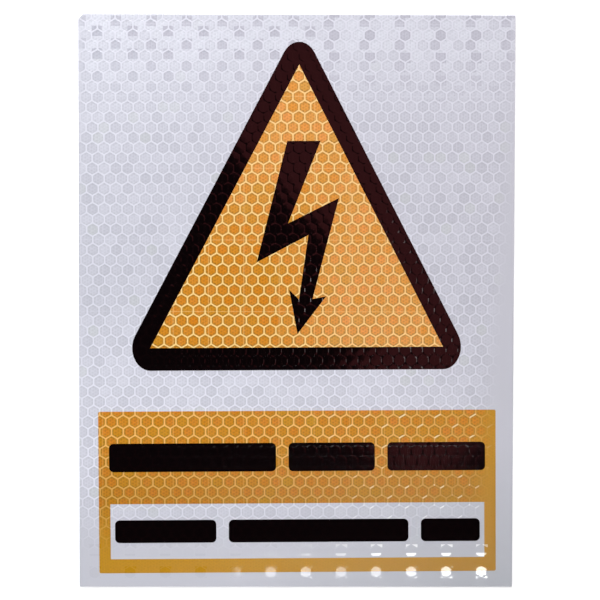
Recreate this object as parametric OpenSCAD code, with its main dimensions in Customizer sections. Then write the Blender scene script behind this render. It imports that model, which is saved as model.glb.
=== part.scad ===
// High voltage warning sign: a self-adhesive sheet of honeycomb reflective film, printed in two colours.
// The sheet lies on its adhesive back. Its print faces +Z and its top points along +Y.
// The origin is the middle of the back face. All sizes are in millimetres.

/* [Sheet] */
// Width of the film sheet
sheet_w = 152; // [130:1:220]
// Height of the film sheet
sheet_h = 200; // [165:1:300]
// Thickness of the film with its adhesive
sheet_t = 0.5; // [0.3:0.05:2]
// Width of the small cut at the top left corner
nick_w = 1.8; // [0.5:0.1:5]
// Height of the small cut at the top left corner
nick_h = 1.6; // [0.5:0.1:5]

/* [Print] */
// Thickness of the ink
ink_t = 0.1; // [0.05:0.05:0.3]
// Turn of the whole print on the sheet, in degrees
print_turn = 0.4; // [-1:0.1:1]

/* [Warning triangle] */
// Width of the yellow triangle at its foot
triangle_w = 102.4; // [80:0.2:112]
// How far the apex stands to the right of the middle of the foot
apex_shift = 1.4; // [-3:0.1:3]
// Black border beside the corners of the triangle
border_w = 6.3; // [2:0.1:9]
// Black border above and below the triangle
border_h = 7.9; // [2:0.1:9]
// From the sheet's top edge down to the border
top_margin = 9.4; // [2:0.1:20]
// From the border down to the word panel
panel_gap = 14.3; // [4:0.1:20]

/* [Lightning bolt] */
// Width of the bolt from its left point to its right point
bolt_w = 28.8; // [15:0.2:32]
// Yellow left under the arrow tip
bolt_foot = 4.7; // [2:0.1:10]
// Yellow left above the bolt, up to the apex
bolt_head = 26.5; // [24:0.1:34]
// How far the middle of the bolt stands to the right of the middle of the sheet
bolt_shift = 0.6; // [-3:0.1:3]

/* [Word panel] */
// Yellow panel's margin to the sides of the sheet
panel_side = 6.4; // [4:0.1:15]
// Yellow panel's margin to the foot of the sheet
panel_foot = 5.2; // [3:0.1:8]
// Height of the yellow panel
panel_h = 56.8; // [48:0.1:70]
// Radius of the panel's corners
panel_r = 0.6; // [0.2:0.1:3]
// Yellow frame left beside the unprinted window
window_side = 4; // [2:0.1:10]
// Yellow frame left under the unprinted window
window_foot = 4.9; // [2:0.1:8]
// Height of the unprinted window
window_h = 19.4; // [12:0.1:22]

/* [Word bars] */
// Height of the bars in the yellow part of the panel
upper_bar_h = 10; // [4:0.1:18]
// Height of the bars in the window
lower_bar_h = 8; // [4:0.1:11]
// Radius of the ends of the bars
bar_r = 1.6; // [0.4:0.1:1.9]
// Yellow space beside the first and last of the upper bars
upper_margin = 3.7; // [2:0.1:10]
// Free space beside the first and last bar in the window
lower_margin = 1.6; // [0.5:0.1:8]
// Gap between neighbouring bars
bar_gap = 4.4; // [1:0.1:8]

/* [Hidden] */

// Points on each rounded corner
ARC_STEPS = 10;

// The bolt's corners as shares of its width and height, from its arrow tip round to the right
BOLT = [
    [0.49, 0],
    [0.84, 0.195],
    [0.674, 0.181],
    [1, 0.704],
    [0.382, 0.574],
    [0.781, 1],
    [0.378, 1],
    [0, 0.373],
    [0.628, 0.513],
    [0.51, 0.18],
    [0.392, 0.229]
];

// Shares of the line that the bars of each row take
UPPER_WORDS = [58, 30, 34];
LOWER_WORDS = [36, 64, 21];

// The panel stands on the foot margin, and the window on the panel's frame
panel_w = sheet_w - 2 * panel_side;
panel_low = -sheet_h / 2 + panel_foot;
panel_top = panel_low + panel_h;
window_w = panel_w - 2 * window_side;
window_low = panel_low + window_foot;
window_top = window_low + window_h;
upper_bar_y = (window_top + panel_top) / 2;
lower_bar_y = (window_low + window_top) / 2;

// The yellow triangle fills the height between the top margin and the panel, less its border
triangle_top = sheet_h / 2 - top_margin - border_h;
triangle_foot = panel_top + panel_gap + border_h;
bolt_h = triangle_top - triangle_foot - bolt_foot - bolt_head;
TRIANGLE = [
    [-triangle_w / 2, triangle_foot],
    [triangle_w / 2, triangle_foot],
    [apex_shift, triangle_top]
];

// Direction that the outline's edge from a to b faces, for corners listed anticlockwise
function facing(a, b) = atan2(b.y - a.y, b.x - a.x) - 90;

// The smallest turn of a full circle or less that leads anticlockwise from one direction to another
function onward(from, to) = to < from ? to + 360 : to;

// Point of an ellipse where its edge faces the given direction
function ellipse_point(rx, ry, direction) =
    let (t = atan2(ry * sin(direction), rx * cos(direction)))
    [rx * cos(t), ry * sin(t)];

// Outline that runs round the corners at the reach of an ellipse
function rounded_outline(corners, rx, ry) = [
    for (i = [0 : len(corners) - 1])
    let (
        before = corners[(i + len(corners) - 1) % len(corners)],
        here = corners[i],
        after = corners[(i + 1) % len(corners)],
        first = facing(before, here),
        last = onward(first, facing(here, after))
    )
    for (k = [0 : ARC_STEPS])
    here + ellipse_point(rx, ry, first + (last - first) * k / ARC_STEPS)
];

// Sum of the first n numbers of a list
function sum_first(list, n) = n == 0 ? 0 : list[n - 1] + sum_first(list, n - 1);

module rounded_rectangle(w, h, r) {
    x = w / 2 - r;
    y = h / 2 - r;
    polygon(rounded_outline([[-x, -y], [x, -y], [x, y], [-x, y]], r, r));
}

module triangle_outline() {
    polygon(TRIANGLE);
}

module border_outline() {
    polygon(rounded_outline(TRIANGLE, border_w, border_h));
}

module bolt_outline() {
    translate([bolt_shift - bolt_w / 2, triangle_foot + bolt_foot])
        polygon([for (p = BOLT) [p.x * bolt_w, p.y * bolt_h]]);
}

module panel_outline() {
    translate([0, panel_low + panel_h / 2])
        rounded_rectangle(panel_w, panel_h, panel_r);
}

module window_outline() {
    translate([-window_w / 2, window_low])
        square([window_w, window_h]);
}

// One row of plain bars that fills the line between the margins
module bar_row(words, line_w, h, y) {
    free = line_w - bar_gap * (len(words) - 1);
    scale_w = free / sum_first(words, len(words));
    for (i = [0 : len(words) - 1]) {
        w = words[i] * scale_w;
        left = -line_w / 2 + sum_first(words, i) * scale_w + i * bar_gap;
        translate([left + w / 2, y])
            rounded_rectangle(w, h, bar_r);
    }
}

module upper_bars() {
    bar_row(UPPER_WORDS, panel_w - 2 * upper_margin, upper_bar_h, upper_bar_y);
}

module lower_bars() {
    bar_row(LOWER_WORDS, window_w - 2 * lower_margin, lower_bar_h, lower_bar_y);
}

// Ink of one colour, on the film's face
module ink() {
    translate([0, 0, sheet_t])
        rotate([0, 0, print_turn])
            linear_extrude(ink_t)
                children();
}

// The film: one sheet, cut square but for the nick at its top left corner
module reflective_sheet() {
    x = sheet_w / 2;
    y = sheet_h / 2;
    color("#dedde6")
        linear_extrude(sheet_t)
            polygon([[-x, -y], [x, -y], [x, y], [-x + nick_w, y], [-x, y - nick_h]]);
}

// Yellow ink: the triangle round the bolt, and the panel round its window and bars
module yellow_print() {
    color("#e2a13a")
        ink() {
            difference() {
                triangle_outline();
                bolt_outline();
            }
            difference() {
                panel_outline();
                window_outline();
                upper_bars();
            }
        }
}

// Black ink: the rounded border, the bolt, and the bars in place of words
module black_print() {
    color("#161214")
        ink() {
            difference() {
                border_outline();
                triangle_outline();
            }
            bolt_outline();
            upper_bars();
            lower_bars();
        }
}

reflective_sheet();
yellow_print();
black_print();
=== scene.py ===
# %% [markdown]
# A reflective warning sign, told in cells.
# The real thing is one sheet of honeycomb reflective film, printed in two inks and stuck on by its back.
# The imported model gives the sheet and the two inks as flat solids, in metres, with the back on z = 0.
# Everything here follows that frame: the cells are pressed into the sheet, and the inks follow the cells.
# The height of each imported solid is measured, to tell its top from its bottom.

import math

import bmesh
import bpy
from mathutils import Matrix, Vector


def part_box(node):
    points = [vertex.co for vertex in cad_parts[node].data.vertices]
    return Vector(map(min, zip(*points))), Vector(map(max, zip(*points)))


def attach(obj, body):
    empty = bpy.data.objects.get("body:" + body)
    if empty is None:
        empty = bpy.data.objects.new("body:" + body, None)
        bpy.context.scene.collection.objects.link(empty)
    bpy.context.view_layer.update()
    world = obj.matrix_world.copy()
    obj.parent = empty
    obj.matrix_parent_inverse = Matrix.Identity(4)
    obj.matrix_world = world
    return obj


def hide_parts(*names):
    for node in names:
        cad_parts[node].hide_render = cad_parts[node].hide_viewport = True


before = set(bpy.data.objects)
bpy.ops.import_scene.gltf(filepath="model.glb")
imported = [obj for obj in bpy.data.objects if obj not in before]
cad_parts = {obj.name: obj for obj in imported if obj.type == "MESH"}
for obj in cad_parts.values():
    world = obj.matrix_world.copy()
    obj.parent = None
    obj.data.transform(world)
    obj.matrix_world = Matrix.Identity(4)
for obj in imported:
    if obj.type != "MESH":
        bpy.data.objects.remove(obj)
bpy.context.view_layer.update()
MM = 0.001

# %% [markdown]
# The camera looks straight down on the lying sheet, a little from above its middle, with a 70 mm lens.
# Its place and its small tilts were worked out from where the sheet's four edges lie in a square picture.
# A long lens keeps the rectangle square, as it is in a product picture.

# %% Camera
CAMERA_PLACE = (-1.32, 10.21, 408.1)
CAMERA_TILT = (-1.325, -0.357, 0.114)
LENS_MM = 70

lens = bpy.data.cameras.new("camera")
lens.lens = LENS_MM
lens.sensor_width = 36
camera = bpy.data.objects.new("camera", lens)
camera.location = Vector(CAMERA_PLACE) * MM
camera.rotation_euler = [math.radians(v) for v in CAMERA_TILT]
bpy.context.scene.collection.objects.link(camera)
bpy.context.scene.camera = camera
print("camera at", CAMERA_PLACE, "mm")

# %% [markdown]
# A node tree is easier to read when each node takes one line.
# `add` makes a node of any kind, sets what it is told and links the inputs that are sockets.
# With `out` it hands back that output, ready to be the next node's input, and otherwise the node itself.
# `srgb` turns the hex value that a colour picker shows into the linear numbers that shaders expect.

# %% Helpers for trees and colours
MATH, VECTOR, MIX, RANGE = "ShaderNodeMath", "ShaderNodeVectorMath", "ShaderNodeMix", "ShaderNodeMapRange"
SPLIT, JOIN_XYZ = "ShaderNodeSeparateXYZ", "ShaderNodeCombineXYZ"


def add(tree, kind, inputs=None, out=None, **settings):
    node = tree.nodes.new(kind)
    for key, value in settings.items():
        setattr(node, key, value)
    for key, value in (inputs or {}).items():
        if isinstance(value, bpy.types.NodeSocket):
            tree.links.new(value, node.inputs[key])
        else:
            node.inputs[key].default_value = value
    return node if out is None else node.outputs[out]


def srgb(text):
    parts = [int(text[i : i + 2], 16) / 255 for i in (1, 3, 5)]
    linear = [c / 12.92 if c <= 0.04045 else ((c + 0.055) / 1.055) ** 2.4 for c in parts]
    return (*linear, 1.0)


# %% [markdown]
# Such film is two layers welded together along a honeycomb of seal lines, with pockets of air between.
# The weld leaves a shallow valley round each cell, and the cell between the valleys is a low pillow.
# The cells are regular, so one cell is modelled once and then repeated.
# Its rim of 18 points lies on the seal line, where its neighbours share them, with a shoulder inside it.
# The weld dies away along the left and right edges and towards the foot of the sheet.
# Real relief, rather than a painted line, is what makes gloss ink glint along the seals from any side.

# %% Sizes of the honeycomb, in millimetres
CELL_PITCH = 4.114
ROW_PITCH = 3.5405
LATTICE_PLACE = (1.0, 0.75)
LATTICE_TURN = 0.24
SEAL_HALF_WIDTH = 0.25
VALLEY_DEPTH = 0.028
PILLOW_RISE = 0.012
CORNER_CUT = 0.24
CELLS_ACROSS = 42
ROW_PAIRS = 31
# where the weld ends at the right, at the left and at the foot, and over what length it fades in
WELD_SLANT = -0.08
WELD_RIGHT, WELD_RIGHT_FADE = 74.0, -9.0
WELD_LEFT, WELD_LEFT_FADE = -80.0, 8.0
WELD_FOOT, WELD_FOOT_FADE = -92.0, 26.0


# %% Where the weld shows
def weld_shows(tree, x, y):
    """1 where the film is welded, down to 0 at the right, left and lower edges, for a place in mm."""
    slid = add(tree, MATH, {0: y, 1: WELD_SLANT, 2: x}, 0, operation="MULTIPLY_ADD")
    ends = (
        (slid, WELD_RIGHT, WELD_RIGHT_FADE),
        (x, WELD_LEFT, WELD_LEFT_FADE),
        (y, WELD_FOOT, WELD_FOOT_FADE),
    )
    total = None
    for value, end, fade in ends:
        limits = {"Value": value, "From Min": end, "From Max": end + fade}
        keep = add(tree, RANGE, limits, 0, interpolation_type="SMOOTHSTEP")
        total = add(tree, MATH, {0: total, 1: keep}, 0, operation="MULTIPLY") if total else keep
    return total


# %% One cell
def make_cell(name):
    x, y = CELL_PITCH / 2, ROW_PITCH / 3
    corners = [Vector(c) for c in ((x, -y), (x, y), (0, 2 * y), (-x, y), (-x, -y), (0, -2 * y))]
    inner = 1 - SEAL_HALF_WIDTH / x
    rim, shoulder = [], []
    for here, after in zip(corners, corners[1:] + corners[:1]):
        near, far = here.lerp(after, CORNER_CUT), here.lerp(after, 1 - CORNER_CUT)
        rim += [here, near, far]
        shoulder += [near * inner, far * inner]
    points = [(*p, -VALLEY_DEPTH) for p in rim] + [(*p, 0) for p in shoulder] + [(0, 0, PILLOW_RISE)]
    top = len(points) - 1
    first = len(rim)
    faces = []
    for side in range(6):
        corner, near, far = 3 * side, 3 * side + 1, 3 * side + 2
        before = (corner - 1) % first
        inner_near, inner_far = first + 2 * side, first + 2 * side + 1
        inner_before = first + (2 * side - 1) % 12
        faces.append((near, far, inner_far, inner_near))
        faces.append((before, corner, near, inner_near, inner_before))
        faces.append((inner_near, inner_far, top))
        faces.append((inner_before, inner_near, top))
    mesh = bpy.data.meshes.new(name)
    mesh.from_pydata([Vector(p) * MM for p in points], [], faces)
    return bpy.data.objects.new(name, mesh)


cell = make_cell("one_cell")
print("faces in one cell", len(cell.data.polygons))

# %% [markdown]
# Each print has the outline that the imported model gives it.
# A copy of that solid is welded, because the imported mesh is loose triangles, and stretched in height.
# It then works like a pastry cutter: what of the honeycomb lies inside it is kept.
# The film's cutter starts at the flat adhesive back, so the back is cut flat too.

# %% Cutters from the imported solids
CUTTER_TOP = 2.0


def make_cutter(node, foot):
    low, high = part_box(node)
    middle = (low.z + high.z) / 2
    work = bmesh.new()
    work.from_mesh(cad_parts[node].data)
    bmesh.ops.remove_doubles(work, verts=work.verts, dist=0.001 * MM)
    for v in work.verts:
        v.co.z = (CUTTER_TOP if v.co.z > middle else foot) * MM
    mesh = bpy.data.meshes.new(node + "_cutter")
    work.to_mesh(mesh)
    work.free()
    return bpy.data.objects.new(node + "_cutter", mesh)


# %% [markdown]
# Geometry Nodes lay the cells out: two grids of points, one half a cell over and one row up, carry the cell.
# Merging the shared rims makes one skin. A lowered copy and a wall round its rim close it into a slab.
# For the film the slab reaches below the back. For an ink it is one ink layer thick and follows the relief.
# Last, the slab is cut by its outline, so each piece is a closed solid with true edges.

# %% Inputs of the honeycomb tree
def honeycomb_inputs(tree):
    sockets = (
        ("Cell", "NodeSocketObject", None),
        ("Outline", "NodeSocketObject", None),
        ("Pitch", "NodeSocketFloat", CELL_PITCH * MM),
        ("Row", "NodeSocketFloat", ROW_PITCH * MM),
        ("Columns", "NodeSocketInt", CELLS_ACROSS),
        ("Row pairs", "NodeSocketInt", ROW_PAIRS),
        ("Top", "NodeSocketFloat", 0.5 * MM),
        ("Thickness", "NodeSocketFloat", 1.5 * MM),
        ("Filled below", "NodeSocketFloat", -0.2),
        ("Material", "NodeSocketMaterial", None),
    )
    for name, kind, value in sockets:
        made = tree.interface.new_socket(name, in_out="INPUT", socket_type=kind)
        if value is not None:
            made.default_value = value
    tree.interface.new_socket("Geometry", in_out="OUTPUT", socket_type="NodeSocketGeometry")
    return tree.nodes.new("NodeGroupInput").outputs


# %% The skin of cells
def cell_skin(tree, given):
    double_row = add(tree, MATH, {0: given["Row"], 1: 2.0}, 0, operation="MULTIPLY")
    columns = add(tree, MATH, {0: given["Columns"], 1: 1.0}, 0, operation="SUBTRACT")
    rows = add(tree, MATH, {0: given["Row pairs"], 1: 1.0}, 0, operation="SUBTRACT")
    span_x = add(tree, MATH, {0: columns, 1: given["Pitch"]}, 0, operation="MULTIPLY")
    span_y = add(tree, MATH, {0: rows, 1: double_row}, 0, operation="MULTIPLY")
    spans = {"Size X": span_x, "Size Y": span_y}
    counts = {"Vertices X": given["Columns"], "Vertices Y": given["Row pairs"]}
    grid = add(tree, "GeometryNodeMeshGrid", {**spans, **counts}, "Mesh")
    half = add(tree, MATH, {0: given["Pitch"], 1: 0.5}, 0, operation="MULTIPLY")
    step = add(tree, JOIN_XYZ, {"X": half, "Y": given["Row"]}, 0)
    over = add(tree, "GeometryNodeTransform", {"Geometry": grid, "Translation": step}, 0)
    points = add(tree, "GeometryNodeJoinGeometry")
    for part in (grid, over):
        tree.links.new(part, points.inputs[0])
    pattern = add(tree, "GeometryNodeObjectInfo", {"Object": given["Cell"]}, "Geometry")
    placed = add(tree, "GeometryNodeInstanceOnPoints", {"Points": points.outputs[0], "Instance": pattern}, 0)
    real = add(tree, "GeometryNodeRealizeInstances", {"Geometry": placed}, 0)
    lattice = {
        "Geometry": real,
        "Translation": (LATTICE_PLACE[0] * MM, LATTICE_PLACE[1] * MM, 0),
        "Rotation": (0, 0, math.radians(LATTICE_TURN)),
    }
    turned = add(tree, "GeometryNodeTransform", lattice, 0)
    return add(tree, "GeometryNodeMergeByDistance", {"Geometry": turned, "Distance": 0.002 * MM}, 0)


# %% The relief, which dies away towards three edges, and where thick ink fills it
FILL_FADE = 28.0


def raise_skin(tree, given, skin):
    position = add(tree, "GeometryNodeInputPosition", out=0)
    place = add(tree, SPLIT, {0: position}).outputs
    in_mm = add(tree, VECTOR, {0: position, "Scale": 1 / MM}, 0, operation="SCALE")
    x, y = add(tree, SPLIT, {0: in_mm}).outputs[:2]
    keep = weld_shows(tree, x, y)
    open_from = add(tree, MATH, {0: given["Filled below"], 1: FILL_FADE * MM}, 0, operation="ADD")
    limits = {"Value": place["Y"], "From Min": given["Filled below"], "From Max": open_from}
    keep = add(tree, MATH, {0: keep, 1: add(tree, RANGE, limits, 0)}, 0, operation="MULTIPLY")
    height = add(tree, MATH, {0: place["Z"], 1: keep, 2: given["Top"]}, 0, operation="MULTIPLY_ADD")
    raised = add(tree, JOIN_XYZ, {"X": place["X"], "Y": place["Y"], "Z": height}, 0)
    return add(tree, "GeometryNodeSetPosition", {"Geometry": skin, "Position": raised}, 0)


# %% The slab, cut by its outline
def close_slab(tree, given, skin):
    depth = add(tree, MATH, {0: given["Thickness"], 1: -1.0}, 0, operation="MULTIPLY")
    down = add(tree, JOIN_XYZ, {"Z": depth}, 0)
    lowered = add(tree, "GeometryNodeSetPosition", {"Geometry": skin, "Offset": down}, 0)
    back = add(tree, "GeometryNodeFlipFaces", {"Mesh": lowered}, 0)
    neighbours = add(tree, "GeometryNodeInputMeshEdgeNeighbors", out=0)
    rim = add(tree, "FunctionNodeCompare", {2: neighbours, 3: 1}, 0, data_type="INT", operation="EQUAL")
    edge = {"Mesh": skin, "Selection": rim, "Offset": down}
    wall = add(tree, "GeometryNodeExtrudeMesh", edge, "Mesh", mode="EDGES")
    both = add(tree, "GeometryNodeJoinGeometry")
    for part in (wall, back):
        tree.links.new(part, both.inputs[0])
    return add(tree, "GeometryNodeMergeByDistance", {"Geometry": both.outputs[0], "Distance": 0.002 * MM}, 0)


def honeycomb_tree():
    tree = bpy.data.node_groups.new("honeycomb", "GeometryNodeTree")
    given = honeycomb_inputs(tree)
    skin = raise_skin(tree, given, cell_skin(tree, given))
    slab = close_slab(tree, given, skin)
    outline = add(tree, "GeometryNodeObjectInfo", {"Object": given["Outline"]}, "Geometry")
    cut = add(tree, "GeometryNodeMeshBoolean", operation="INTERSECT", solver="MANIFOLD")
    for part in (slab, outline):
        tree.links.new(part, cut.inputs["Mesh 2"])
    real = add(tree, "GeometryNodeRealizeInstances", {"Geometry": cut.outputs["Mesh"]}, 0)
    dressed = add(tree, "GeometryNodeSetMaterial", {"Geometry": real, "Material": given["Material"]}, 0)
    add(tree, "NodeGroupOutput", {"Geometry": dressed})
    return tree


honeycomb = honeycomb_tree()
print("the honeycomb tree has", len(honeycomb.nodes), "nodes")


# %% [markdown]
# `press` runs the tree on an empty object and keeps only the plain mesh it gives.
# A modifier's input is set by its identifier, before the object is evaluated for the first time.

# %% Press a sheet of cells
def press(name, node, foot, material, **values):
    piece = bpy.data.objects.new(name, bpy.data.meshes.new(name + "_seed"))
    bpy.context.scene.collection.objects.link(piece)
    modifier = piece.modifiers.new("honeycomb", "NODES")
    modifier.node_group = honeycomb
    ids = {s.name: s.identifier for s in honeycomb.interface.items_tree if s.in_out == "INPUT"}
    values = {"Cell": cell, "Outline": make_cutter(node, foot), "Material": material, **values}
    for key, value in values.items():
        modifier[ids[key]] = value
    graph = bpy.context.evaluated_depsgraph_get()
    mesh = bpy.data.meshes.new_from_object(piece.evaluated_get(graph))
    piece.modifiers.clear()
    piece.data = mesh
    mesh.name = name
    work = bmesh.new()
    work.from_mesh(mesh)
    open_edges = sum(len(e.link_faces) != 2 for e in work.edges)
    triangles = sum(len(f.verts) - 2 for f in work.faces)
    work.free()
    size = [round(v / MM, 3) for v in piece.dimensions]
    print(name, "has", triangles, "triangles,", open_edges, "open edges, size in mm", size)
    return piece


# %% [markdown]
# The finishes need the same honeycomb as a pattern, and it can be worked out at every point.
# Wrapping a point into a box of one cell by two rows gives its place beside the nearest cell of one set.
# The same, half a box over, gives the other set. The shorter of the two is the cell that holds the point.
# That gives the distance from the seal line, and a number that is the same all over a cell draws its chance.

# %% Which cell a point is in
def wrap_place(tree, place, shift, step):
    """A point's place beside the nearest of many marks that stand a step apart."""
    moved = add(tree, VECTOR, {0: place, 1: (*shift, 0)}, 0, operation="SUBTRACT")
    half = (step[0] / 2, step[1] / 2, 1)
    return add(tree, VECTOR, {0: moved, 1: half, 2: [-v for v in half]}, 0, operation="WRAP")


def nearest_cell(tree, flat):
    turn = {"Vector": flat, "Location": (*LATTICE_PLACE, 0), "Rotation": (0, 0, math.radians(LATTICE_TURN))}
    place = add(tree, "ShaderNodeMapping", turn, 0, vector_type="TEXTURE")
    box = (CELL_PITCH, 2 * ROW_PITCH)
    first = wrap_place(tree, place, (0, 0), box)
    second = wrap_place(tree, place, (CELL_PITCH / 2, ROW_PITCH), box)
    long_first = add(tree, VECTOR, {0: first}, "Value", operation="LENGTH")
    long_second = add(tree, VECTOR, {0: second}, "Value", operation="LENGTH")
    nearer = add(tree, MATH, {0: long_first, 1: long_second}, 0, operation="LESS_THAN")
    local = add(tree, MIX, {0: nearer, 4: second, 5: first}, 1, data_type="VECTOR")
    middle = add(tree, VECTOR, {0: place, 1: local}, 0, operation="SUBTRACT")
    steps = add(tree, VECTOR, {0: middle, 1: (CELL_PITCH / 2, ROW_PITCH, 1)}, 0, operation="DIVIDE")
    shifted = add(tree, VECTOR, {0: steps, 1: (0.5, 0.5, 0.5)}, 0, operation="ADD")
    index = add(tree, VECTOR, {0: shifted}, 0, operation="FLOOR")
    chance = add(tree, "ShaderNodeTexWhiteNoise", {"Vector": index}, "Color", noise_dimensions="3D")
    return local, chance


# %% [markdown]
# How deep a point lies in its cell is its distance from the middle, square to the nearest side.
# A real cell has slightly rounded corners, which a smooth maximum of the two distances gives.

# %% How far inside its seal lines
SEAL_BLUR = 0.11
CELL_ROUNDNESS = 0.5
CELL_EDGE = CELL_PITCH / 2 - SEAL_HALF_WIDTH


def cell_reach(tree, local):
    """Distance from the middle of the cell, measured square to its nearest side."""
    sides = add(tree, VECTOR, {0: local}, 0, operation="ABSOLUTE")
    across = add(tree, SPLIT, {0: sides}).outputs
    true_row = CELL_PITCH * math.sqrt(3) / 2
    squash = math.sqrt(3) / 2 * true_row / ROW_PITCH
    up = add(tree, MATH, {0: across["Y"], 1: squash}, 0, operation="MULTIPLY")
    slant = add(tree, MATH, {0: across["X"], 1: 0.5, 2: up}, 0, operation="MULTIPLY_ADD")
    return add(tree, MATH, {0: across["X"], 1: slant, 2: CELL_ROUNDNESS}, 0, operation="SMOOTH_MAX")


# %% [markdown]
# The light is sent back by micro prisms: three sets of grooves cross at 60 degrees and leave cube corners.
# A ping-pong wave across each direction gives the grooves, and some noise gives their uneven moulding.

# %% The prisms inside a cell
# real ones are a fifth of a millimetre wide: they are drawn coarser, so that a render can show them
PRISM_STEP = 1.0


def prism_ridges(tree, local, chance):
    """0 to 1 across three crossing sets of ridges, which start at another place in each cell."""
    offset = add(tree, VECTOR, {0: chance, "Scale": PRISM_STEP}, 0, operation="SCALE")
    moved = add(tree, VECTOR, {0: local, 1: offset}, 0, operation="ADD")
    total = None
    for turn in (0, 60, 120):
        way = (math.cos(math.radians(turn)), math.sin(math.radians(turn)), 0)
        along = add(tree, VECTOR, {0: moved, 1: way}, "Value", operation="DOT_PRODUCT")
        ridge = add(tree, MATH, {0: along, 1: PRISM_STEP / 2}, 0, operation="PINGPONG")
        total = add(tree, MATH, {0: total, 1: ridge}, 0, operation="ADD") if total else ridge
    ridges = add(tree, MATH, {0: total, 1: 2 / (3 * PRISM_STEP)}, 0, operation="MULTIPLY")
    cloud = {"Vector": moved, "Scale": 1 / PRISM_STEP, "Detail": 2.0, "Roughness": 0.6}
    uneven = add(tree, "ShaderNodeTexNoise", cloud, 0, noise_dimensions="2D")
    return add(tree, MIX, {0: 0.5, 2: ridges, 3: uneven}, 0, data_type="FLOAT")


# %% [markdown]
# The prisms are cut by tools that leave square tiles, and some tiles are smoother than the rest.
# Smooth tiles mirror what is above the sheet: they look darker under a dark ceiling and flash under a lamp.
# Near the film's top their darkness is also painted into its colour, as painted shade.
# They stand three cells apart, in two sets that shift where one tool plate meets the next.
# The joints inside a plate show as thin upright and level lines.

# %% Prism tiles and tool joints, in millimetres
TILE_STEP = (3 * CELL_PITCH, 7.85)
TILE_SIDE = 3.6
# each set: where it starts, its shift right of the plate joint, below which height, and how dark it is
TILE_SETS = (((-69.5, 86.3), (-3.8, -1.2), 200.0, 1.0), ((-1.1, 89.8), (-4.1, -0.3), 77.0, 0.8))
PLATE_JOINT_X = 8.0
FOOT_TILES = (65.35, -94.9)
FOOT_SIDE = 4.1
FOOT_TOP = -84.0
FOOT_RIGHT = 72.0
# above this height only the part of a cell below its middle, by this much, is smooth enough to flash; there
# the flash is also a painted highlight
FOOT_WHOLE = -91.0
FOOT_DIP = -0.45
TOOL_JOINT_PLACE = (6.3, -3.3)
TOOL_JOINT_STEP = (3 * CELL_PITCH, 25.0)
TOOL_JOINT_WIDTH = 0.26


def marks(tree, flat, place, step, width, measure):
    """1 within half a width of the marks: MAXIMUM gives squares and MINIMUM gives lines."""
    near = wrap_place(tree, flat, place, step)
    sides = add(tree, VECTOR, {0: near}, 0, operation="ABSOLUTE")
    side = add(tree, SPLIT, {0: sides}).outputs
    reach = add(tree, MATH, {0: side["X"], 1: side["Y"]}, 0, operation=measure)
    return add(tree, MATH, {0: reach, 1: width / 2}, 0, operation="LESS_THAN")


def smooth_tiles(tree, flat, local, welded):
    x, y = add(tree, SPLIT, {0: flat}).outputs[:2]
    right = add(tree, MATH, {0: x, 1: PLATE_JOINT_X}, 0, operation="GREATER_THAN")
    total = None
    for place, (shift_x, shift_y), height, share in TILE_SETS:
        back = (-shift_x, -shift_y, 0)
        under = add(tree, MATH, {0: y, 1: height}, 0, operation="LESS_THAN")
        shifted = add(tree, MATH, {0: right, 1: under}, 0, operation="MULTIPLY")
        moved = add(tree, VECTOR, {0: shifted, 1: back, 2: flat}, 0, operation="MULTIPLY_ADD")
        squares = marks(tree, moved, place, TILE_STEP, TILE_SIDE, "MAXIMUM")
        squares = add(tree, MATH, {0: squares, 1: share}, 0, operation="MULTIPLY")
        total = add(tree, MATH, {0: total, 1: squares}, 0, operation="MAXIMUM") if total else squares
    low = add(tree, MATH, {0: y, 1: FOOT_TOP}, 0, operation="LESS_THAN")
    inside = add(tree, MATH, {0: x, 1: FOOT_RIGHT}, 0, operation="LESS_THAN")
    low = add(tree, MATH, {0: low, 1: inside}, 0, operation="MULTIPLY")
    total = add(tree, MATH, {0: total, 1: welded}, 0, operation="MULTIPLY")
    foot = marks(tree, flat, FOOT_TILES, TILE_STEP, FOOT_SIDE, "MAXIMUM")
    foot = add(tree, MATH, {0: foot, 1: low}, 0, operation="MULTIPLY")
    in_cell = add(tree, SPLIT, {0: local}).outputs["Y"]
    whole = add(tree, MATH, {0: y, 1: FOOT_WHOLE}, 0, operation="LESS_THAN")
    dipped = add(tree, MATH, {0: in_cell, 1: FOOT_DIP}, 0, operation="LESS_THAN")
    lit = add(tree, MATH, {0: whole, 1: dipped}, 0, operation="MAXIMUM")
    return total, add(tree, MATH, {0: foot, 1: lit}, 0, operation="MULTIPLY")


# %% [markdown]
# Where a weld crosses a smooth tile it catches the light as a short white stroke; these strokes are painted
# highlights in the finishes' colour, not reflections of a lamp. Only the welds that rise to the right get
# them, every third cell, towards the lower right of the sheet. The small flashes just above the lowest row
# of the foot are painted highlights too.

# %% Painted highlights on the welds in the smooth tiles
GLINT_RIGHT = (-5.0, 35.0)
GLINT_TOP = -38.0


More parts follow.
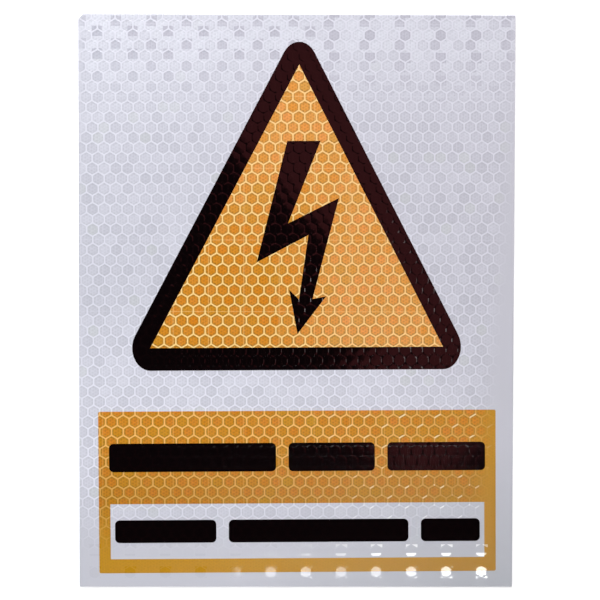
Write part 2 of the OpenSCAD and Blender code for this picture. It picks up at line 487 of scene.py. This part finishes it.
def painted_slant_glints(tree, local, x, y, squares, smooth):
    """Painted highlight: 1 on the rising weld lines and in the small flashes of the foot, towards the lower
    right.
    """
    rising = (-0.5, math.sqrt(3) / 2, 0)
    across = add(tree, VECTOR, {0: local, 1: rising}, "Value", operation="DOT_PRODUCT")
    across = add(tree, MATH, {0: across}, 0, operation="ABSOLUTE")
    line = add(tree, MATH, {0: across, 1: CELL_EDGE}, 0, operation="GREATER_THAN")
    right = add(tree, RANGE, {"Value": x, "From Min": GLINT_RIGHT[0], "From Max": GLINT_RIGHT[1]}, 0)
    low = add(tree, MATH, {0: y, 1: GLINT_TOP}, 0, operation="LESS_THAN")
    total = add(tree, MATH, {0: line, 1: right}, 0, operation="MULTIPLY")
    total = add(tree, MATH, {0: total, 1: low}, 0, operation="MULTIPLY")
    total = add(tree, MATH, {0: total, 1: squares}, 0, operation="MULTIPLY")
    over = add(tree, MATH, {0: y, 1: FOOT_WHOLE}, 0, operation="GREATER_THAN")
    small = add(tree, MATH, {0: smooth, 1: right}, 0, operation="MULTIPLY")
    small = add(tree, MATH, {0: small, 1: over}, 0, operation="MULTIPLY")
    return add(tree, MATH, {0: total, 1: small}, 0, operation="MAXIMUM")


# %% [markdown]
# One node group gathers all of this. The three finishes then agree on every cell, as one moulding would.

# %% The pattern group that all finishes share
def pattern_group():
    tree = bpy.data.node_groups.new("film_pattern", "ShaderNodeTree")
    here = add(tree, "ShaderNodeTexCoord", out="Object")
    flat = add(tree, VECTOR, {0: here, 1: (1 / MM, 1 / MM, 0)}, 0, operation="MULTIPLY")
    local, chance = nearest_cell(tree, flat)
    reach = cell_reach(tree, local)
    seal = {"Value": reach, "From Min": CELL_EDGE + SEAL_BLUR, "From Max": CELL_EDGE - SEAL_BLUR}
    cell_mask = add(tree, RANGE, seal, 0, interpolation_type="SMOOTHSTEP")
    middle = {"Value": reach, "From Min": CELL_EDGE - 0.1, "From Max": CELL_EDGE - 0.75}
    core = add(tree, RANGE, middle, 0, interpolation_type="SMOOTHSTEP")
    x, y = add(tree, SPLIT, {0: flat}).outputs[:2]
    welded = weld_shows(tree, x, y)
    # painted shade: 0 to 1 towards the lower right corner, where the finishes are painted darker
    low = add(tree, RANGE, {"Value": y, "From Min": -50.0, "From Max": -98.0}, 0)
    right = add(tree, RANGE, {"Value": x, "From Min": -20.0, "From Max": 60.0}, 0)
    corner = add(tree, MATH, {0: low, 1: right}, 0, operation="MULTIPLY")
    squares, foot = smooth_tiles(tree, flat, local, welded)
    tiles = add(tree, MATH, {0: squares, 1: cell_mask}, 0, operation="MULTIPLY")
    smooth = add(tree, MATH, {0: foot, 1: cell_mask}, 0, operation="MULTIPLY")
    joints = marks(tree, flat, TOOL_JOINT_PLACE, TOOL_JOINT_STEP, TOOL_JOINT_WIDTH, "MINIMUM")
    made = {
        "In cell": (cell_mask, "NodeSocketFloat"),
        "Core": (core, "NodeSocketFloat"),
        "Prisms": (prism_ridges(tree, local, chance), "NodeSocketFloat"),
        "Welded": (welded, "NodeSocketFloat"),
        "Corner shade": (corner, "NodeSocketFloat"),
        "Chance": (chance, "NodeSocketVector"),
        "Place": (flat, "NodeSocketVector"),
        "Tile": (tiles, "NodeSocketFloat"),
        "Smooth": (smooth, "NodeSocketFloat"),
        "Painted glint": (painted_slant_glints(tree, local, x, y, squares, smooth), "NodeSocketFloat"),
        "Joint": (joints, "NodeSocketFloat"),
    }
    for name, (socket, kind) in made.items():
        tree.interface.new_socket(name, in_out="OUTPUT", socket_type=kind)
    add(tree, "NodeGroupOutput", {name: socket for name, (socket, kind) in made.items()})
    return tree


film_pattern = pattern_group()
print("the film pattern has", len(film_pattern.nodes), "nodes")


# %% [markdown]
# Every finish starts from one shader with its plain values, and the same pattern.

# %% Start of a finish
def new_finish(name, **values):
    material = bpy.data.materials.new(name)
    material.use_nodes = True
    tree = material.node_tree
    tree.nodes.clear()
    shader = add(tree, "ShaderNodeBsdfPrincipled", {key.replace("_", " "): v for key, v in values.items()})
    add(tree, "ShaderNodeOutputMaterial", {"Surface": shader.outputs[0]})
    return material, tree, shader


# %% [markdown]
# Inside a cell the prisms show as fine ridges, and the film is duller beside the weld than in the middle.
# Both only change how bright the cell's own colour is, so one factor carries them.

# %% Brightness inside a cell
def grain(tree, cells, rim, ridges):
    core = add(tree, MATH, {0: cells["Core"], 1: rim, 2: 1 - rim - ridges / 2}, 0, operation="MULTIPLY_ADD")
    return add(tree, MATH, {0: cells["Prisms"], 1: ridges, 2: core}, 0, operation="MULTIPLY_ADD")


# %% [markdown]
# The same prisms make the gloss uneven: the roughness wanders and a faint bump breaks up the reflections.
# Smooth tiles are left out of both, so they can mirror a lamp as a clean flash.

# %% Unevenness from the prisms
def uneven(tree, shader, cells, smooth, least, most, depth):
    """Roughness between two values and a fine bump, both gone where a tile is smooth."""
    drawn = add(tree, RANGE, {"Value": cells["Prisms"], "To Min": least, "To Max": most}, 0)
    rough = add(tree, MIX, {0: smooth, 2: drawn, 3: 0.05}, 0, data_type="FLOAT")
    tree.links.new(rough, shader.inputs["Roughness"])
    height = add(tree, MIX, {0: smooth, 2: cells["Prisms"], 3: 0.5}, 0, data_type="FLOAT")
    bump = add(tree, "ShaderNodeBump", {"Strength": 0.3, "Distance": depth * MM, "Height": height}, 0)
    tree.links.new(bump, shader.inputs["Normal"])


# %% [markdown]
# The film is clear PMMA, moulded with prisms below and left glossy above.
# In soft light a cell looks pale grey, a little lilac. The welds, which have no prisms, look whiter.
# To the eye this gives the bright honeycomb net, with cells that differ a little from each other.
# It is opaque here: the depth of the prisms shows as grain, rather than as slow and noisy refraction.

# %% Film finish
def film_finish():
    material, tree, shader = new_finish("clear_prismatic_pmma_film", Roughness=0.35, IOR=1.49)
    cells = add(tree, "ShaderNodeGroup", node_tree=film_pattern).outputs
    chance = add(tree, SPLIT, {0: cells["Chance"]}).outputs
    place = add(tree, SPLIT, {0: cells["Place"]}).outputs

    # each cell has its own grey, and a few lean to green
    tint = add(tree, MIX, {0: chance["X"], 6: srgb("#C7C7CF"), 7: srgb("#D3D3DB")}, 2, data_type="RGBA")
    green = add(tree, MATH, {0: chance["Y"], 1: 0.95}, 0, operation="GREATER_THAN")
    green = add(tree, MATH, {0: green, 1: 0.25}, 0, operation="MULTIPLY")
    tint = add(tree, MIX, {0: green, 6: tint, 7: srgb("#CCD2C8")}, 2, data_type="RGBA")

    # towards the top the cells are painted whiter, painted light, some cells more than others; the smooth
    # tiles there mirror the dark ceiling and are also painted darker, painted shade
    top = add(tree, RANGE, {"Value": place["Y"], "From Min": 55.0, "From Max": 88.0}, 0)
    white = add(tree, MATH, {0: top, 1: chance["Z"]}, 0, operation="MULTIPLY")
    white = add(tree, MATH, {0: white, 1: top, 2: 0.4}, 0, operation="MULTIPLY_ADD", use_clamp=True)
    white = add(tree, MATH, {0: white, 1: top}, 0, operation="MULTIPLY")
    tint = add(tree, MIX, {0: white, 6: tint, 7: srgb("#DDDEE5")}, 2, data_type="RGBA")
    shown = add(tree, RANGE, {"Value": place["Y"], "From Min": 66.0, "From Max": 88.0}, 0)
    tile = add(tree, MATH, {0: cells["Tile"], 1: shown}, 0, operation="MULTIPLY")
    tint = add(tree, MIX, {0: tile, 6: tint, 7: srgb("#C4C4CD")}, 2, data_type="RGBA")
    tint = add(tree, VECTOR, {0: tint, "Scale": grain(tree, cells, 0.08, 0.4)}, 0, operation="SCALE")

    # a level band under the triangle is painted lighter, painted light that makes up for the lamps falling
    # off lower down; it fades out towards the right; a level band under the triangle comes from another
    # tool plate, and is lighter
    off_band = add(tree, MATH, {0: place["Y"], 1: -42.0}, 0, operation="SUBTRACT")
    off_band = add(tree, MATH, {0: off_band}, 0, operation="ABSOLUTE")
    painted_band_light = {"Value": off_band, "From Min": 45.0, "From Max": 15.0, "To Min": 1.0, "To Max": 1.12}
    fade = {"Value": place["X"], "From Min": 35.0, "From Max": 72.0, "To Min": 1.0, "To Max": 0.0}
    painted_band_light = add(tree, MIX, {0: add(tree, RANGE, fade, 0), 2: 1.0, 3: add(tree, RANGE, painted_band_light, 0)}, 0)

    # seal lines are whiter than cells, and tool joints show faintly inside them
    joint = add(tree, MATH, {0: cells["Joint"], 1: 0.3}, 0, operation="MULTIPLY")
    tint = add(tree, MIX, {0: joint, 6: tint, 7: srgb("#E1E1E9")}, 2, data_type="RGBA")
    cell_and_seal = add(tree, MIX, {0: cells["In cell"], 6: srgb("#E1E1E9"), 7: tint}, 2, data_type="RGBA")
    colour = add(tree, MIX, {0: cells["Welded"], 6: srgb("#CECED5"), 7: cell_and_seal}, 2, data_type="RGBA")

    # painted shade: darker towards the lower right corner; the bright strokes over it are painted highlights
    colour = add(tree, VECTOR, {0: colour, "Scale": painted_band_light}, 0, operation="SCALE")
    colour = add(tree, MIX, {0: cells["Corner shade"], 6: colour, 7: srgb("#BCBEC3")}, 2, data_type="RGBA")
    glint = add(tree, MATH, {0: cells["Painted glint"], 1: 0.9}, 0, operation="MULTIPLY")
    colour = add(tree, MIX, {0: glint, 6: colour, 7: srgb("#FFFFFF")}, 2, data_type="RGBA")
    tree.links.new(colour, shader.inputs["Base Color"])

    smooth = add(tree, MATH, {0: tile, 1: cells["Smooth"]}, 0, operation="MAXIMUM")
    uneven(tree, shader, cells, smooth, 0.3, 0.4, 0.02)
    return material


# %% [markdown]
# The yellow is a transparent screen ink, so the honeycomb shines through it and its depth varies.
# Over a weld it looks like pale straw, and over the prisms it looks orange, ochre or a little pink.
# To the eye this gives a warm amber field that is liveliest inside the triangle.

# %% Yellow ink finish
# each shade: deep in the triangle, pale in the triangle, in the panel
YELLOWS = {
    "orange": ("#D78012", "#E2943A", "#CF7F0E"),
    "ochre": ("#CC8E20", "#D99D47", "#C8911C"),
    "pink": ("#DA8B2C", "#EB9B50", "#D68526"),
    "seal": ("#FFDA91", "#FFD28C", "#F8C170"),
    "plain": ("#D59F46", "#DDA553", "#C58F20"),
}


def yellow_finish():
    material, tree, shader = new_finish("transparent_yellow_screen_ink", Roughness=0.3, IOR=1.5)
    cells = add(tree, "ShaderNodeGroup", node_tree=film_pattern).outputs
    chance = add(tree, SPLIT, {0: cells["Chance"]}).outputs
    place = add(tree, SPLIT, {0: cells["Place"]}).outputs

    # the triangle's yellow is paler than the panel's, and palest towards its right and its top
    panel = add(tree, MATH, {0: place["Y"], 1: -30.0}, 0, operation="LESS_THAN")
    right = add(tree, RANGE, {"Value": place["X"], "From Min": -10.0, "From Max": 18.0}, 0)
    top = add(tree, RANGE, {"Value": place["Y"], "From Min": 15.0, "From Max": 55.0}, 0)
    pale = add(tree, MATH, {0: right, 1: top}, 0, operation="MAXIMUM")
    shade = {}
    for name, (deep, light, low) in YELLOWS.items():
        upper = add(tree, MIX, {0: pale, 6: srgb(deep), 7: srgb(light)}, 2, data_type="RGBA")
        shade[name] = add(tree, MIX, {0: panel, 6: upper, 7: srgb(low)}, 2, data_type="RGBA")

    # each cell takes its own place between three hues
    tint = add(tree, MIX, {0: chance["X"], 6: shade["orange"], 7: shade["ochre"]}, 2, data_type="RGBA")
    tint = add(tree, MIX, {0: chance["Y"], 6: tint, 7: shade["pink"]}, 2, data_type="RGBA")
    rim = add(tree, MATH, {0: cells["Core"], 1: -0.7, 2: 0.7}, 0, operation="MULTIPLY_ADD")
    tint = add(tree, MIX, {0: rim, 6: tint, 7: shade["ochre"]}, 2, data_type="RGBA")
    tint = add(tree, VECTOR, {0: tint, "Scale": grain(tree, cells, 0.2, 1.0)}, 0, operation="SCALE")

    # the seal lines are lighter, but less so towards the right of the panel
    faint = add(tree, RANGE, {"Value": place["X"], "From Min": 15.0, "From Max": 60.0, "To Max": 0.55}, 0)
    faint = add(tree, MATH, {0: faint, 1: panel}, 0, operation="MULTIPLY")
    dim = {"Value": place["Y"], "From Min": -50.0, "From Max": -66.0, "To Max": 0.3}
    faint = add(tree, MATH, {0: faint, 1: add(tree, RANGE, dim, 0)}, 0, operation="MAXIMUM")
    seal = add(tree, MIX, {0: faint, 6: shade["seal"], 7: shade["plain"]}, 2, data_type="RGBA")
    joint = add(tree, MATH, {0: cells["Joint"], 1: 0.4}, 0, operation="MULTIPLY")
    tint = add(tree, MIX, {0: joint, 6: tint, 7: seal}, 2, data_type="RGBA")
    cell_and_seal = add(tree, MIX, {0: cells["In cell"], 6: seal, 7: tint}, 2, data_type="RGBA")
    # painted shade: the cells and seals are darker towards the foot of the panel
    foot = {"Value": place["Y"], "From Min": -45.0, "From Max": -70.0, "To Min": 1.0, "To Max": 0.84}
    lower = add(tree, VECTOR, {0: cell_and_seal, "Scale": add(tree, RANGE, foot, 0)}, 0, operation="SCALE")
    even = {0: shade["plain"], "Scale": grain(tree, cells, 0.0, 0.3)}
    plain = add(tree, VECTOR, even, 0, operation="SCALE")
    colour = add(tree, MIX, {0: cells["Welded"], 6: plain, 7: lower}, 2, data_type="RGBA")
    # painted shade: darker and browner towards the lower right corner
    colour = add(tree, MIX, {0: cells["Corner shade"], 6: colour, 7: srgb("#B07E00")}, 2, data_type="RGBA")
    # painted highlight: the bright strokes on the welds and the small flashes of the foot, in pale amber
    glint = add(tree, MATH, {0: cells["Painted glint"], 1: 0.65}, 0, operation="MULTIPLY")
    colour = add(tree, MIX, {0: glint, 6: colour, 7: srgb("#FFF3D0")}, 2, data_type="RGBA")
    tree.links.new(colour, shader.inputs["Base Color"])

    uneven(tree, shader, cells, cells["Smooth"], 0.25, 0.35, 0.02)
    return material


# %% [markdown]
# The black is an opaque gloss ink. It hides the colour of the cells but keeps their relief.
# To the eye it is a deep black that turns to dark maroon where it mirrors a warm surface above,
# with short glints where the side of a seal line faces a lamp.

# %% Black ink finish
def black_finish():
    material, tree, shader = new_finish("black_gloss_screen_ink", Roughness=0.07, IOR=1.5)
    cells = add(tree, "ShaderNodeGroup", node_tree=film_pattern).outputs
    # partly a real reflection of the rose card in the relief, partly painted: the seal lines are painted a
    # little lighter and warmer than the cells, a painted reflection
    seal_reflection_paint = {0: cells["In cell"], 6: srgb("#0E0506"), 7: srgb("#080304")}
    colour = add(tree, MIX, seal_reflection_paint, 2, data_type="RGBA")
    tree.links.new(colour, shader.inputs["Base Color"])

    # the bars over yellow ink are duller, and those on bare film are the smoothest
    y = add(tree, SPLIT, {0: cells["Place"]}).outputs["Y"]
    rough = add(tree, RANGE, {"Value": cells["Prisms"], "To Min": 0.06, "To Max": 0.08}, 0)
    dull = {"Value": y, "From Min": -30.0, "From Max": -38.0, "To Min": 1.0, "To Max": 1.25}
    fine = {"Value": y, "From Min": -62.0, "From Max": -68.0, "To Min": 1.0, "To Max": 0.25}
    for limits in (dull, fine):
        rough = add(tree, MATH, {0: rough, 1: add(tree, RANGE, limits, 0)}, 0, operation="MULTIPLY")
    tree.links.new(rough, shader.inputs["Roughness"])
    return material


# %% [markdown]
# Now the pieces are pressed, each with its outline and its finish.
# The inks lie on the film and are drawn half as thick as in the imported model, to stay inside its box.
# The black fills the valleys more and more towards the foot, so no cells show in the lower bars.
# Each piece rides on the root body and replaces its flat solid.

# %% Film and inks
INK = 0.05
ink_sizes = {"Top": (0.5 + INK) * MM, "Thickness": INK * MM}
film = press("reflective_film", "reflective_sheet", 0.0, film_finish())
yellow = press("yellow_ink", "yellow_print", -1.0, yellow_finish(), **ink_sizes)
black_sizes = {**ink_sizes, "Filled below": -66 * MM}
black = press("black_ink", "black_print", -1.0, black_finish(), **black_sizes)

for piece, node, slot in (
    (film, "reflective_sheet", "reflective_film"),
    (yellow, "yellow_print", "yellow_ink"),
    (black, "black_print", "black_ink"),
):
    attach(piece, "root")
    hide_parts(node)


# %% [markdown]
# A product picture of a sheet shows it on seamless white.
# The table glows a little, so it stays white under lamps that leave the sheet's own greys visible.

# %% Floor
FLOOR_HALF = 1.5


def make_floor():
    mesh = bpy.data.meshes.new("floor")
    h, z = FLOOR_HALF, -0.02 * MM
    mesh.from_pydata([(-h, -h, z), (h, -h, z), (h, h, z), (-h, h, z)], [], [(0, 1, 2, 3)])
    floor = bpy.data.objects.new("floor", mesh)
    bpy.context.scene.collection.objects.link(floor)
    material, tree, shader = new_finish("matte_white", Roughness=0.9, IOR=1.45)
    shader.inputs["Base Color"].default_value = srgb("#F4F4F4")
    shader.inputs["Emission Color"].default_value = srgb("#FFFFFF")
    shader.inputs["Emission Strength"].default_value = 0.5
    mesh.materials.append(material)
    return floor


make_floor()
print("floor half width in m", FLOOR_HALF)

# %% [markdown]
# Rectangles of light stand in for softboxes. Each looks at its aim, and its long side stays level.
# The key box at the upper left gives most light, and a weaker one fills from the right.
# The small lamps are dim and narrow. Each is placed where a slope of the relief mirrors it:
# the flash lamps in the smooth tiles along the foot, and the strips in the upright sides of the seals.

# %% Lamps
def softbox(name, place, size, power, colour, aim=(0, 0, 0), spread=180):
    light = bpy.data.lights.new(name, "AREA")
    light.shape = "RECTANGLE"
    light.size, light.size_y = size
    light.energy = power
    light.color = srgb(colour)[:3]
    light.spread = math.radians(spread)
    lamp = bpy.data.objects.new(name, light)
    lamp.location = place
    way = (Vector(aim) - Vector(place)).normalized()
    lamp.rotation_euler = (math.asin(way.y), math.atan2(-way.x, -way.z), 0)
    bpy.context.scene.collection.objects.link(lamp)
    return lamp


softbox("key_box", (-0.42, 0.6, 0.62), (0.4, 0.3), 11.2, "#F8FAFF")
softbox("right_box", (0.9, -0.1, 0.7), (0.5, 0.7), 1.75, "#FFF8F0")
softbox("flash_lamp", (0.165, -0.3575, 1.0), (0.2, 0.055), 0.0078, "#FFFFFF", aim=(0, -0.105, 0), spread=20)
softbox("flash_tail", (-0.0025, -0.3575, 1.0), (0.135, 0.055), 0.0024, "#FFFFFF", (-0.02, -0.1, 0), 20)
softbox("tick_strip", (0.245, -0.105, 1.0), (0.4, 0.09), 0.0042, "#FFFFFF", (-0.075, -0.14, 0), 18)
softbox("left_strip", (0.115, -0.105, 1.0), (0.13, 0.09), 0.0012, "#FFFFFF", (-0.052, -0.14, 0), 8)
softbox("arrow_strip", (0.235, -0.02, 1.0), (0.09, 0.07), 0.00014, "#FFFFFF", (-0.02, 0, 0), 6)
softbox("arm_strip", (0.412, -0.037, 1.0), (0.06, 0.09), 0.0006, "#FFFFFF", (0.053, -0.003, 0), 20)
softbox("low_strip", (0.42, -0.21, 1.0), (0.2, 0.05), 0.0006, "#FFFFFF", aim=(0.056, -0.045, 0), spread=14)


# %% [markdown]
# The black ink mirrors what hangs above it. Dim rose cards up on the right turn it to maroon there.
# A large one covers the upper right. A narrow one lies along its lower edge, for the foot of the border.
# The cards are kept out of the diffuse light, so they warm no colour.

# %% Warm cards
def warm_card(name, place, size, power):
    """A dim rose card above the right, seen only as a reflection in the ink."""
    card = softbox(name, place, size, power, "#D86A6E", aim=(*place[:2], 0))
    card.rotation_euler = (0, 0, math.radians(-43))
    card.visible_diffuse = False


warm_card("warm_card", (0.346, 0.388, 1.0), (1.3, 0.9), 3.1)
warm_card("low_card", (0.147, -0.145, 1.0), (0.176, 0.15), 0.07)


# %% [markdown]
# The room is bright near the horizon and dark overhead.
# So the edges of the sheet get soft light, and its glossy face mirrors a dark ceiling and keeps its colour.

# %% Room light
def studio_world():
    world = bpy.data.worlds.new("studio")
    world.use_nodes = True
    tree = world.node_tree
    direction = add(tree, "ShaderNodeTexCoord", out="Generated")
    height = add(tree, SPLIT, {0: direction}).outputs["Z"]
    glow = {"Value": height, "From Min": 0.62, "From Max": 0.25, "To Min": 0.01, "To Max": 0.7}
    strength = add(tree, RANGE, glow, 0, interpolation_type="SMOOTHSTEP")
    tree.links.new(strength, tree.nodes["Background"].inputs["Strength"])
    tree.nodes["Background"].inputs["Color"].default_value = srgb("#F5F7FF")
    bpy.context.scene.world = world


studio_world()
bpy.context.scene.view_settings.view_transform = "Standard"
